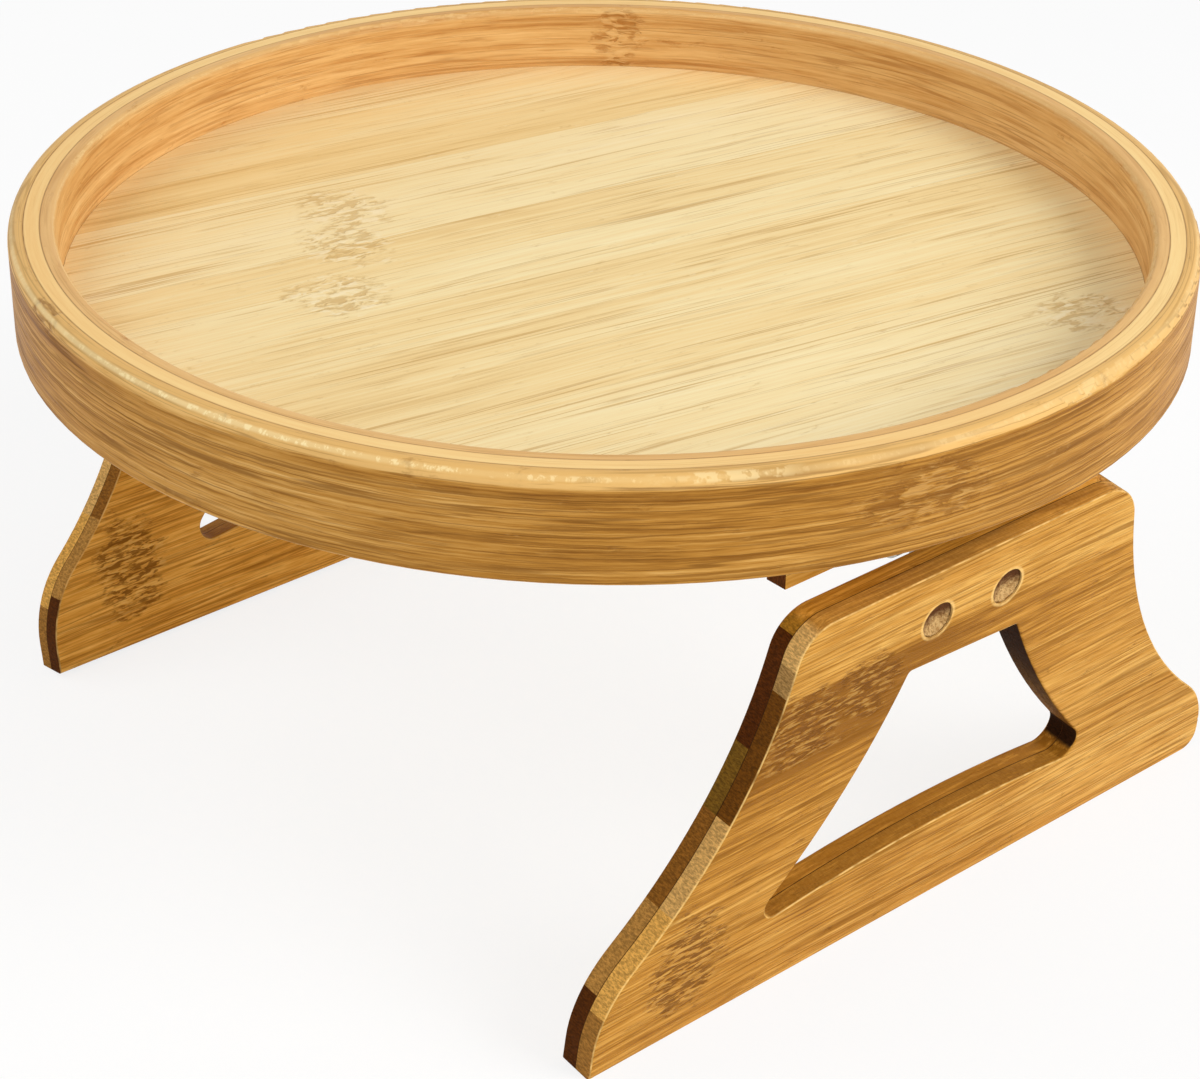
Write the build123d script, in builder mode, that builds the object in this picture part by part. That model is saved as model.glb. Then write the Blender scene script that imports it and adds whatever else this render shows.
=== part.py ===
from build123d import *
from math import atan2, ceil, cos, degrees, pi, radians, sin
import os

# Round bamboo tray that clips over a sofa arm on two spring-hinged bamboo legs.
# Millimetres and degrees. +Z is up from the surface the legs stand on, the tray's
# axis is Z, the legs' length runs along X with their pointed toes at -X, the near
# leg is at -Y and the far leg, its mirror image, at +Y.

os.makedirs("parts", exist_ok=True)

# Tray: a rim bent from three bamboo plies round a flat floor.
tray_radius = 125.0
rim_height = 22.2
rim_ply = 3.3
rim_outer_round = 2.6
rim_inner_round = 1.6
rim_foot_round = 0.8
floor_top_rise = 7.5
floor_thickness = 6.0
floor_fit = 0.1
floor_rebate = 1.5
glue_line = 0.05

# Legs: two-ply bamboo plates with a triangular window, leaning in at the foot.
leg_length = 183.5
foot_drop = 80.8
top_rise = 12.5
leg_thickness = 8.2
leg_edge_round = 0.6
toe_in = 8.2
hole_inset = 14.3
hole_drop = 27.4

# Screw holes and plugs on the outer face of each leg.
hole_spacing = 20.0
plug_radius = 4.0
plug_fit = 0.05
plug_recess = 2.0
plug_height = 1.7
counterbore_depth = 5.5
leg_screw_radius = 1.75
leg_screw_head_radius = 3.6
leg_screw_head_height = 1.75
leg_screw_fit = 0.05
leg_screw_end = 0.6

# Spring hinge: two leaves, a pin and one torsion spring.
hinge_width = 32.0
leaf_thickness = 1.5
barrel_radius = 3.25
pin_radius = 1.5
pin_fit = 0.05
pin_head_radius = 2.6
pin_head_height = 1.0
fixed_knuckle = 5.0
moving_knuckle = 4.6
knuckle_gap = 0.2
knuckle_relief = 0.35
leg_top_gap = 1.5
leaf_tail = 6.0
leaf_top_margin = 0.5
leaf_corner = 2.0
wire_radius = 0.7
spring_pitch = 1.95
spring_end_gap = 0.87
tang_margin = 1.0
tang_slot_side = 0.3
gap_samples_per_turn = 40

# Hinge rails under the floor, rebated so that a lip backs the hinge's ends.
rail_length = 90.0
rail_width = 20.0
rail_drop = 10.7
flange_drop = 5.0
lip_width = 5.0
barrel_notch_side = 1.0
rail_screw_radius = 1.75
rail_screw_head_radius = 3.3
rail_screw_length = 10.0
rail_screw_margin = 9.0
rail_screw_count = 3
leaf_screw_radius = 1.5
leaf_screw_length = 12.0
leaf_screw_head_radius = 2.7
leaf_screw_head_height = 1.4
leaf_screw_spacing = 22.0
screw_fit = 0.05

overrun = 1.0

# Outline of a leg, as shares of its length and of its height, from the middle of
# the two holes: the ends of the front and back edges and a point midway on each.
leg_height = foot_drop + top_rise
instep_share = (-0.4370, -0.5960)
front_waist_share = (-0.3215, -0.2885)
front_top_share = (-0.2703, 0.0200)
back_top_share = (0.2632, 0.0200)
back_waist_share = (0.3166, -0.2562)
heel_neck_share = (0.4768, -0.6452)
toe_upright = 5.6
heel_upright = 4.1
heel_corner_round = 4.0
front_corner_round = 8.5
back_corner_round = 12.0

# Outline of the window in the same shares.
window_front_top_share = (-0.0828, -0.1158)
window_back_top_share = (0.0888, -0.1308)
window_back_waist_share = (0.1722, -0.3870)
window_back_foot_share = (0.3008, -0.6710)
window_sill_share = (0.0110, -0.6290)
window_front_foot_share = (-0.2834, -0.6795)
window_front_waist_share = (-0.1395, -0.3410)
window_top_round = 1.0
window_back_round = 4.2
window_toe_round = 3.5

# Sizes worked out from the ones above.
cos_toe = cos(radians(toe_in))
sin_toe = sin(radians(toe_in))
foot_lift = leg_edge_round * (cos_toe + sin_toe - 1)
tray_base = foot_drop * cos_toe + hole_drop - foot_lift
floor_top = tray_base + floor_top_rise
floor_base = floor_top - floor_thickness
rim_top = tray_base + rim_height
hole_reach = tray_radius - hole_inset
outer_ply_bore = tray_radius - rim_ply
middle_ply_radius = outer_ply_bore - glue_line
middle_ply_bore = middle_ply_radius - rim_ply
inner_ply_radius = middle_ply_bore - glue_line
inner_ply_bore = inner_ply_radius - rim_ply
leg_ply = (leg_thickness - glue_line) / 2
hole_height = tray_base - hole_drop

# The near leg's plane: x along the leg, y up the plate, z out of its outer face.
leg_normal = Vector(0, -cos_toe, -sin_toe)
leg_up = Vector(0, -sin_toe, cos_toe)
hole_centre = Vector(0, -hole_reach, hole_height)
outer_face = Plane(origin=hole_centre, x_dir=(1, 0, 0), z_dir=leg_normal)
ply_face = outer_face.offset(-(leg_ply + glue_line))
inner_face = outer_face.offset(-leg_thickness)

# The pin's axis lies one barrel radius inside the leg's inner face, above its top.
pin_rise = top_rise + leg_top_gap
pin_centre = inner_face.origin + leg_up * pin_rise - leg_normal * barrel_radius
pin_y = pin_centre.Y
pin_z = pin_centre.Z
leaf_inset = barrel_radius - leaf_thickness
rail_face_y = pin_y - leaf_inset
leaf_face_y = pin_y - barrel_radius
barrel_clear = barrel_radius + knuckle_relief
flange_base = tray_base - flange_drop
rail_base = tray_base - rail_drop
flange_height = floor_base - flange_base
leaf_top = floor_base - leaf_top_margin
leaf_screw_height = flange_base + flange_height / 2
rail_screw_y = rail_face_y + lip_width + (rail_width - lip_width) / 2
spring_room = hinge_width - 2 * (fixed_knuckle + knuckle_gap + moving_knuckle)
spring_turns = (spring_room - 2 * (wire_radius + spring_end_gap)) / spring_pitch
rail_screw_pitch = (rail_length - 2 * rail_screw_margin) / (rail_screw_count - 1)


def at_share(shares):
    # A point of the leg's outline from its shares of length and height.
    return (shares[0] * leg_length, shares[1] * leg_height)


def helix_point(turn, radius):
    # A point of the spring's centre line and its direction, after so many turns.
    angle = 2 * pi * turn
    x = spring_start_x + spring_pitch * turn
    point = Vector(x, pin_y - radius * cos(angle), pin_z - radius * sin(angle))
    slope = Vector(spring_pitch, 2 * pi * radius * sin(angle), -2 * pi * radius * cos(angle))
    return point, slope.normalized()


def biarc(start, start_way, end, end_way):
    # Two arcs that leave start along start_way and reach end along end_way.
    chord = end - start
    ways = start_way + end_way
    a = 2 * (1 - start_way.dot(end_way))
    b = 2 * chord.dot(ways)
    c = -chord.dot(chord)
    reach = (-b + (b * b - 4 * a * c) ** 0.5) / (2 * a)
    near_handle = start + start_way * reach
    far_handle = end - end_way * reach
    joint = (near_handle + far_handle) / 2
    TangentArc(start, joint, tangent=start_way)
    TangentArc(joint, end, tangent=(far_handle - near_handle).normalized())


# Rim, outer ply: the outside wall, with a rounded top edge.
with BuildPart() as rim_outer_ply:
    with BuildSketch(Plane.XY.offset(tray_base)):
        Circle(tray_radius)
        Circle(outer_ply_bore, mode=Mode.SUBTRACT)
    extrude(amount=rim_height)
    crown = rim_outer_ply.edges().group_by(Axis.Z)[-1].sort_by(SortBy.RADIUS)[-1]
    fillet(crown, rim_outer_round)
    foot = rim_outer_ply.edges().group_by(Axis.Z)[0].sort_by(SortBy.RADIUS)[-1]
    fillet(foot, rim_foot_round)
rim_outer_ply.part.label = "rim_outer_ply"
export_step(rim_outer_ply.part, "parts/rim_outer_ply.step")

# Rim, middle ply: runs the full height beside the floor's edge.
with BuildPart() as rim_middle_ply:
    with BuildSketch(Plane.XY.offset(tray_base)):
        Circle(middle_ply_radius)
        Circle(middle_ply_bore, mode=Mode.SUBTRACT)
    extrude(amount=rim_height)
rim_middle_ply.part.label = "rim_middle_ply"
export_step(rim_middle_ply.part, "parts/rim_middle_ply.step")

# Rim, inner ply: stands in the floor's rebate and forms the well's wall.
rebate_base = floor_top - floor_rebate
with BuildPart() as rim_inner_ply:
    with BuildSketch(Plane.XY.offset(rebate_base)):
        Circle(inner_ply_radius)
        Circle(inner_ply_bore, mode=Mode.SUBTRACT)
    extrude(amount=rim_top - rebate_base)
    lip_edge = rim_inner_ply.edges().group_by(Axis.Z)[-1].sort_by(SortBy.RADIUS)[0]
    fillet(lip_edge, rim_inner_round)
rim_inner_ply.part.label = "rim_inner_ply"
export_step(rim_inner_ply.part, "parts/rim_inner_ply.step")

# Floor: one disc in the rim, rebated under the inner ply, with the rails' pilot holes.
floor_screw_depth = rail_screw_length - flange_height + screw_fit
with BuildPart() as tray_floor:
    with BuildSketch(Plane.XY.offset(floor_base)):
        Circle(middle_ply_bore - floor_fit)
    extrude(amount=floor_thickness - floor_rebate)
    with BuildSketch(Plane.XY.offset(rebate_base)):
        Circle(inner_ply_bore - floor_fit)
    extrude(amount=floor_rebate)
    with BuildSketch(Plane.XY.offset(floor_base)):
        with GridLocations(rail_screw_pitch, 2 * abs(rail_screw_y), rail_screw_count, 2):
            Circle(rail_screw_radius + screw_fit)
    extrude(amount=floor_screw_depth, mode=Mode.SUBTRACT)
tray_floor.part.label = "tray_floor"
export_step(tray_floor.part, "parts/tray_floor.step")

# Hinge rail: a rebated batten, glued and screwed up into the floor.
notch_width = hinge_width + 2 * (pin_head_height + barrel_notch_side)
under_flange = Plane(origin=(0, rail_screw_y, flange_base), x_dir=(1, 0, 0), z_dir=(0, 0, -1))
rail_edge = Plane(origin=(0, rail_face_y, leaf_screw_height), x_dir=(1, 0, 0), z_dir=(0, -1, 0))
with BuildPart() as near_hinge_rail:
    with BuildSketch(Plane.YZ.offset(-rail_length / 2)):
        with Locations((rail_face_y, floor_base)):
            Rectangle(rail_width, flange_height, align=(Align.MIN, Align.MAX))
            Rectangle(lip_width, floor_base - rail_base, align=(Align.MIN, Align.MAX))
    extrude(amount=rail_length)
    with BuildSketch(Plane.YZ.offset(-notch_width / 2)):
        with Locations((rail_face_y - overrun, flange_base)):
            Rectangle(lip_width + 2 * overrun, rail_drop, align=(Align.MIN, Align.MAX))
    extrude(amount=notch_width, mode=Mode.SUBTRACT)
    with Locations(under_flange):
        with GridLocations(rail_screw_pitch, rail_screw_pitch, rail_screw_count, 1):
            CounterSinkHole(rail_screw_radius + screw_fit, rail_screw_head_radius + screw_fit)
    with BuildSketch(rail_edge):
        with GridLocations(leaf_screw_spacing, leaf_screw_spacing, 2, 1):
            Circle(leaf_screw_radius + screw_fit)
    extrude(amount=-(leaf_screw_length + screw_fit), mode=Mode.SUBTRACT)
near_hinge_rail.part.label = "near_hinge_rail"
export_step(near_hinge_rail.part, "parts/near_hinge_rail.step")

# Countersunk screws that hold the rail to the floor, flush with the flange.
head_cone_height = rail_screw_head_radius - rail_screw_radius
with BuildPart() as near_rail_screws:
    with BuildSketch(under_flange.offset(-rail_screw_length)):
        with GridLocations(rail_screw_pitch, rail_screw_pitch, rail_screw_count, 1):
            Circle(rail_screw_radius)
    extrude(amount=rail_screw_length)
    with Locations(under_flange.offset(-head_cone_height / 2)):
        with GridLocations(rail_screw_pitch, rail_screw_pitch, rail_screw_count, 1):
            Cone(rail_screw_radius, rail_screw_head_radius, head_cone_height)
near_rail_screws.part.label = "near_rail_screws"
export_step(near_rail_screws.part, "parts/near_rail_screws.step")

# Fixed leaf: two end knuckles, and a plate screwed to the rail's outer edge.
tang_x = -spring_turns * spring_pitch / 2
tang_slot_width = 2 * (wire_radius + tang_slot_side)
tang_top = leaf_top - tang_margin
between_knuckles = hinge_width - 2 * fixed_knuckle
with BuildPart() as near_fixed_leaf:
    with BuildSketch(Plane.YZ.offset(-hinge_width / 2)):
        with Locations((pin_y, pin_z)):
            Circle(barrel_radius)
        with Locations((leaf_face_y, pin_z)):
            Rectangle(leaf_thickness, leaf_top - pin_z, align=(Align.MIN, Align.MIN))
    extrude(amount=hinge_width)
    with BuildSketch(Plane.YZ.offset(-between_knuckles / 2)):
        with Locations((pin_y, pin_z)):
            Rectangle(2 * barrel_clear, 2 * barrel_clear)
    extrude(amount=between_knuckles, mode=Mode.SUBTRACT)
    with BuildSketch(Plane.YZ.offset(-hinge_width / 2)):
        with Locations((pin_y, pin_z)):
            Circle(pin_radius + pin_fit)
    extrude(amount=hinge_width, mode=Mode.SUBTRACT)
    with BuildSketch(Plane.XZ.offset(-rail_face_y)):
        with Locations((tang_x, pin_z)):
            Rectangle(tang_slot_width, tang_top - pin_z, align=(Align.CENTER, Align.MIN))
        with Locations((0, leaf_screw_height)):
            with GridLocations(leaf_screw_spacing, leaf_screw_spacing, 2, 1):
                Circle(leaf_screw_radius + screw_fit)
    extrude(amount=leaf_thickness + overrun, mode=Mode.SUBTRACT)
    top_corners = near_fixed_leaf.edges().filter_by(Axis.Y).group_by(Axis.Z)[-1]
    fillet(top_corners, leaf_corner)
near_fixed_leaf.part.label = "near_fixed_leaf"
export_step(near_fixed_leaf.part, "parts/near_fixed_leaf.step")

# Pan-head screws that hold the fixed leaf to the rail.
with BuildPart() as near_leaf_screws:
    with BuildSketch(Plane.XZ.offset(-(rail_face_y + leaf_screw_length))):
        with Locations((0, leaf_screw_height)):
            with GridLocations(leaf_screw_spacing, leaf_screw_spacing, 2, 1):
                Circle(leaf_screw_radius)
    extrude(amount=leaf_screw_length + leaf_thickness)
    with BuildSketch(Plane.XZ.offset(-leaf_face_y)):
        with Locations((0, leaf_screw_height)):
            with GridLocations(leaf_screw_spacing, leaf_screw_spacing, 2, 1):
                Circle(leaf_screw_head_radius)
    extrude(amount=leaf_screw_head_height)
    head_rims = near_leaf_screws.edges().group_by(Axis.Y)[0]
    fillet(head_rims, leaf_screw_head_height / 2)
near_leaf_screws.part.label = "near_leaf_screws"
export_step(near_leaf_screws.part, "parts/near_leaf_screws.step")

# Hinge pin, headed at both ends outside the fixed knuckles.
with BuildPart() as near_hinge_pin:
    with BuildSketch(Plane.YZ.offset(-hinge_width / 2 - pin_head_height)):
        with Locations((pin_y, pin_z)):
            Circle(pin_radius)
    extrude(amount=hinge_width + 2 * pin_head_height)
    for head_x in (-hinge_width / 2 - pin_head_height, hinge_width / 2):
        with BuildSketch(Plane.YZ.offset(head_x)):
            with Locations((pin_y, pin_z)):
                Circle(pin_head_radius)
        extrude(amount=pin_head_height)
    fillet(near_hinge_pin.edges().group_by(Axis.X)[0], pin_head_height / 2)
    fillet(near_hinge_pin.edges().group_by(Axis.X)[-1], pin_head_height / 2)
near_hinge_pin.part.label = "near_hinge_pin"
export_step(near_hinge_pin.part, "parts/near_hinge_pin.step")

# Torsion spring round the pin. Its straight tang stands in the fixed leaf's slot
# and bears on the rail; the other end stops just clear of the moving knuckle.
coil_radius = barrel_radius - wire_radius
spring_start_x = -spring_turns * spring_pitch / 2
quarter_turns = ceil(4 * spring_turns)
turn_step = spring_turns / quarter_turns
with BuildPart() as near_hinge_spring:
    with BuildLine():
        first_point, first_way = helix_point(0, coil_radius)
        tang_end = Vector(first_point.X, first_point.Y, tang_top - tang_margin)
        coil_start = first_point
        coil_way = Vector(0, 0, -1)
        Line(tang_end, coil_start)
        for quarter in range(quarter_turns):
            coil_end, end_way = helix_point((quarter + 1) * turn_step, coil_radius)
            biarc(coil_start, coil_way, coil_end, end_way)
            coil_start = coil_end
            coil_way = end_way
    with BuildSketch(Plane(origin=tang_end, z_dir=(0, 0, -1))):
        Circle(wire_radius)
    sweep()
near_hinge_spring.part.label = "near_hinge_spring"
export_step(near_hinge_spring.part, "parts/near_hinge_spring.step")

# Moving leaf: two inner knuckles, and a plate on the leg's inner face.
moving_span = between_knuckles - 2 * knuckle_gap
leaf_length = pin_rise + leaf_tail
with BuildPart() as near_moving_leaf:
    with BuildSketch(inner_face):
        with Locations((0, pin_rise)):
            Rectangle(hinge_width, leaf_length, align=(Align.CENTER, Align.MAX))
        for side in (-1, 1):
            with Locations((side * hinge_width / 2, pin_rise)):
                Rectangle(hinge_width - moving_span, 2 * barrel_clear, mode=Mode.SUBTRACT)
    extrude(amount=-leaf_thickness)
    foot_corners = near_moving_leaf.edges().filter_by(Axis(hole_centre, leg_normal)).group_by(Axis.Z)[0]
    fillet(foot_corners, leaf_corner)
    with BuildSketch(Plane.YZ.offset(-moving_span / 2)):
        with Locations((pin_y, pin_z)):
            Circle(barrel_radius)
    extrude(amount=moving_span)
    with BuildSketch(Plane.YZ.offset(-moving_span / 2)):
        with Locations((pin_y, pin_z)):
            Circle(pin_radius + pin_fit)
    extrude(amount=moving_span, mode=Mode.SUBTRACT)
    with BuildSketch(Plane.YZ.offset(-spring_room / 2)):
        with Locations((pin_y, pin_z)):
            Rectangle(2 * barrel_clear, 2 * barrel_clear)
    extrude(amount=spring_room, mode=Mode.SUBTRACT)
    with BuildSketch(inner_face):
        with GridLocations(hole_spacing, hole_spacing, 2, 1):
            Circle(leg_screw_radius + leg_screw_fit)
    extrude(amount=-(leaf_thickness + overrun), mode=Mode.SUBTRACT)
near_moving_leaf.part.label = "near_moving_leaf"
export_step(near_moving_leaf.part, "parts/near_moving_leaf.step")

# A leg's outline, drawn once: flat foot, swept front edge, hooked toe, round heel.
# The corners follow the front and back edges on to the top. The toe and the heel
# turn on from those edges until they stand upright, a little above the foot.
with BuildSketch() as leg_outline:
    with BuildLine():
        front_edge = ThreePointArc(at_share(front_top_share), at_share(front_waist_share),
                                   at_share(instep_share))
        toe_way = front_edge % 1
        toe_turn = 90 + degrees(atan2(toe_way.Y, -toe_way.X))
        toe_round = ((front_edge @ 1).Y + foot_drop - toe_upright) / sin(radians(toe_turn))
        toe_arc = JernArc(front_edge @ 1, toe_way, toe_round, toe_turn)
        back_edge = ThreePointArc(at_share(back_top_share), at_share(back_waist_share),
                                  at_share(heel_neck_share))
        heel_way = back_edge % 1
        heel_turn = 90 + degrees(atan2(heel_way.Y, heel_way.X))
        heel_round = ((back_edge @ 1).Y + foot_drop - heel_upright) / sin(radians(heel_turn))
        heel_arc = JernArc(back_edge @ 1, heel_way, heel_round, -heel_turn)
        toe = Vector((toe_arc @ 1).X, -foot_drop)
        heel = Vector((heel_arc @ 1).X, -foot_drop)
        FilletPolyline(heel_arc @ 1, heel, toe, radius=heel_corner_round)
        Line(toe, toe_arc @ 1)
        front_rise = (top_rise - (front_edge @ 0).Y) / (front_edge % 0).Y
        back_rise = (top_rise - (back_edge @ 0).Y) / (back_edge % 0).Y
        front_corner = front_edge @ 0 + (front_edge % 0) * front_rise
        back_corner = back_edge @ 0 + (back_edge % 0) * back_rise
        FilletPolyline(front_edge @ 0, front_corner, back_corner, back_edge @ 0,
                       radius=[front_corner_round, back_corner_round])
    make_face()

# The window, drawn once: its front and back edges are waisted as the leg's are.
window_front_top = at_share(window_front_top_share)
window_back_top = at_share(window_back_top_share)
window_back_foot = at_share(window_back_foot_share)
window_front_foot = at_share(window_front_foot_share)
with BuildSketch() as leg_window:
    with BuildLine():
        ThreePointArc(window_front_foot, at_share(window_front_waist_share), window_front_top)
        Line(window_front_top, window_back_top)
        ThreePointArc(window_back_top, at_share(window_back_waist_share), window_back_foot)
        ThreePointArc(window_back_foot, at_share(window_sill_share), window_front_foot)
    make_face()
    fillet(leg_window.vertices().sort_by(Axis.Y)[-2:], window_top_round)
    fillet(leg_window.vertices().sort_by(Axis.X)[-1], window_back_round)
    fillet(leg_window.vertices().sort_by(Axis.X)[0], window_toe_round)

# Leg, outer ply: the face that shows, drilled through for the plugs.
with BuildPart() as near_leg_outer_ply:
    with BuildSketch(outer_face):
        add(leg_outline.sketch)
        add(leg_window.sketch, mode=Mode.SUBTRACT)
    extrude(amount=-leg_ply)
    show_face = near_leg_outer_ply.faces().filter_by(outer_face).sort_by(Axis.Y)[0]
    fillet(show_face.edges(), leg_edge_round)
    with BuildSketch(outer_face):
        with GridLocations(hole_spacing, hole_spacing, 2, 1):
            Circle(plug_radius + plug_fit)
    extrude(amount=-leg_ply, mode=Mode.SUBTRACT)
near_leg_outer_ply.part.label = "near_leg_outer_ply"
export_step(near_leg_outer_ply.part, "parts/near_leg_outer_ply.step")

# Leg, inner ply: carries the screw heads' seats and meets the hinge leaf.
seat_depth = counterbore_depth - leg_ply - glue_line
with BuildPart() as near_leg_inner_ply:
    with BuildSketch(ply_face):
        add(leg_outline.sketch)
        add(leg_window.sketch, mode=Mode.SUBTRACT)
    extrude(amount=-leg_ply)
    back_face = near_leg_inner_ply.faces().filter_by(inner_face).sort_by(Axis.Y)[-1]
    fillet(back_face.edges(), leg_edge_round)
    with BuildSketch(ply_face):
        with GridLocations(hole_spacing, hole_spacing, 2, 1):
            Circle(plug_radius + plug_fit)
    extrude(amount=-seat_depth, mode=Mode.SUBTRACT)
    with BuildSketch(ply_face):
        with GridLocations(hole_spacing, hole_spacing, 2, 1):
            Circle(leg_screw_radius + leg_screw_fit)
    extrude(amount=-leg_ply, mode=Mode.SUBTRACT)
near_leg_inner_ply.part.label = "near_leg_inner_ply"
export_step(near_leg_inner_ply.part, "parts/near_leg_inner_ply.step")

# Screws from the outer face through the leg into the tapped moving leaf.
seat_face = outer_face.offset(-counterbore_depth)
leg_screw_reach = leg_thickness - counterbore_depth + leaf_thickness + leg_screw_end
with BuildPart() as near_leg_screws:
    with BuildSketch(seat_face):
        with GridLocations(hole_spacing, hole_spacing, 2, 1):
            Circle(leg_screw_radius)
    extrude(amount=-leg_screw_reach)
    with BuildSketch(seat_face):
        with GridLocations(hole_spacing, hole_spacing, 2, 1):
            Circle(leg_screw_head_radius)
    extrude(amount=leg_screw_head_height)
near_leg_screws.part.label = "near_leg_screws"
export_step(near_leg_screws.part, "parts/near_leg_screws.step")

# Wooden plugs over the screw heads, left below the face as shallow round pockets.
with BuildPart() as near_leg_plugs:
    with BuildSketch(outer_face.offset(-plug_recess - plug_height)):
        with GridLocations(hole_spacing, hole_spacing, 2, 1):
            Circle(plug_radius)
    extrude(amount=plug_height)
near_leg_plugs.part.label = "near_leg_plugs"
export_step(near_leg_plugs.part, "parts/near_leg_plugs.step")

# The far side is the near side's mirror image, piece by piece.
near_pieces = {
    "hinge_rail": near_hinge_rail,
    "rail_screws": near_rail_screws,
    "fixed_leaf": near_fixed_leaf,
    "leaf_screws": near_leaf_screws,
    "hinge_pin": near_hinge_pin,
    "hinge_spring": near_hinge_spring,
    "moving_leaf": near_moving_leaf,
    "leg_outer_ply": near_leg_outer_ply,
    "leg_inner_ply": near_leg_inner_ply,
    "leg_screws": near_leg_screws,
    "leg_plugs": near_leg_plugs,
}
for piece_name, near_piece in near_pieces.items():
    with BuildPart() as far_piece:
        mirror(near_piece.part, about=Plane.XZ)
    far_piece.part.label = f"far_{piece_name}"
    export_step(far_piece.part, f"parts/far_{piece_name}.step")

# The least gap between the spring's turns, measured on points half a turn or more apart.
sample_count = ceil(spring_turns * gap_samples_per_turn)
coil_points = [helix_point(sample / gap_samples_per_turn, coil_radius)[0] for sample in range(sample_count)]
half_turn_samples = gap_samples_per_turn // 2
spring_gap = min(
    (coil_points[late] - coil_points[early]).length - 2 * wire_radius
    for early in range(sample_count)
    for late in range(early + half_turn_samples, sample_count)
)
print("least gap between the spring's turns %.2f" % spring_gap)
print("pin axis at y %.3f z %.3f, rail face at y %.3f" % (pin_y, pin_z, rail_face_y))
print("overall height %.2f, tray underside at %.2f" % (rim_top, tray_base))
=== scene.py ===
"""A round bamboo tray that clips over a sofa arm: finishes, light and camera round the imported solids."""
from math import cos, pi, radians, sin

import bmesh
import bpy
from mathutils import Matrix, Vector, noise


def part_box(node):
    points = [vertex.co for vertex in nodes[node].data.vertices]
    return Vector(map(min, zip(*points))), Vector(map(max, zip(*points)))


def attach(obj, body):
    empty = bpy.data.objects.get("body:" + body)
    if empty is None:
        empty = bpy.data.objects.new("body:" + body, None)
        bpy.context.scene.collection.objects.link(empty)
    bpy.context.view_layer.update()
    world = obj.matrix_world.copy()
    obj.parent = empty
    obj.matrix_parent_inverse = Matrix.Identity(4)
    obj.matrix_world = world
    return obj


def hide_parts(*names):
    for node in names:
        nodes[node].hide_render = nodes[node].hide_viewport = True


MM = 0.001

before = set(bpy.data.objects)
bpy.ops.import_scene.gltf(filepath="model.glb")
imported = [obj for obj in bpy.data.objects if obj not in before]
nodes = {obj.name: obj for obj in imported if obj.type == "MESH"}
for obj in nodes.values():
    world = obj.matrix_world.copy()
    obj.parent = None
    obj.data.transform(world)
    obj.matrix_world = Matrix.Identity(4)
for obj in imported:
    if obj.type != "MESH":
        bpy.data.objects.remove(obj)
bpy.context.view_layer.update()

# Places that the finishes follow, read from the frame, in millimetres.
tray_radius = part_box("rim_outer_ply")[1].x / MM
rim_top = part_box("rim_outer_ply")[1].z / MM
tray_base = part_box("rim_outer_ply")[0].z / MM
middle_ply_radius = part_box("rim_middle_ply")[1].x / MM
inner_ply_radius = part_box("rim_inner_ply")[1].x / MM
well_radius = inner_ply_radius - (tray_radius - middle_ply_radius)
plug_low, plug_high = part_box("near_leg_plugs")

# A leg at rest leans in by toe_in degrees: the way that its outer face looks, and its length.
toe_in = 8.2
leg_normal = Vector((0, -cos(radians(toe_in)), -sin(radians(toe_in))))
leg_up = Vector((0, -sin(radians(toe_in)), cos(radians(toe_in))))

# The pockets. Depths are measured in from the leg's outer face, in millimetres.
plug_radius = 4.0
plug_face_depth = 2.0
plug_base_depth = 3.7
torn_rim_depth = 0.45
torn_middle_depth = 1.85
tear_depth = 0.22
tears_per_mm = 0.9
plug_rings = 12
plug_turns = 36
plug_spacing = (plug_high.x - plug_low.x) / MM - 2 * plug_radius
plug_middle_depth = (plug_face_depth + plug_base_depth) / 2
hole_centre = (plug_low + plug_high) / 2 / MM + leg_normal * plug_middle_depth

# Heights on a leg, up from its pockets, and the depth of the glue between its plies, in millimetres.
leg_foot = -82.0
leg_top = 13.0
board_joint = -3.6
ply_joint_depth = 4.1

# The photograph's camera, fitted to the tray's circles: millimetres and degrees.
camera_distance = 587.9
camera_height = 275.0
camera_heading = 41.53
camera_pitch = 29.81
camera_roll = 0.90
camera_lens = 90.0
camera_sensor = 36.0

# The studio, in metres and watts. A lamp has its place, the point that it faces, its power and its width.
lamps = {
    "key": ((0.48, -1.10, 0.84), (0, 0, 0.08), 14.1, 0.8),
    "fill": ((-1.10, -0.50, 0.28), (0, 0, 0.06), 3.0, 0.6),
    "back": ((-0.55, 0.75, 1.10), (0, 0, 0.08), 5.0, 0.9),
}
ambient_strength = 0.42
stage_reach = 6.0
stage_glow = 0.82


def srgb(red, green, blue):
    """A colour written as screen values from 0 to 255, as Blender's linear colour."""
    linear = []
    for value in (red, green, blue):
        share = value / 255
        linear.append(share / 12.92 if share <= 0.04045 else ((share + 0.055) / 1.055) ** 2.4)
    return (*linear, 1.0)


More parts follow.
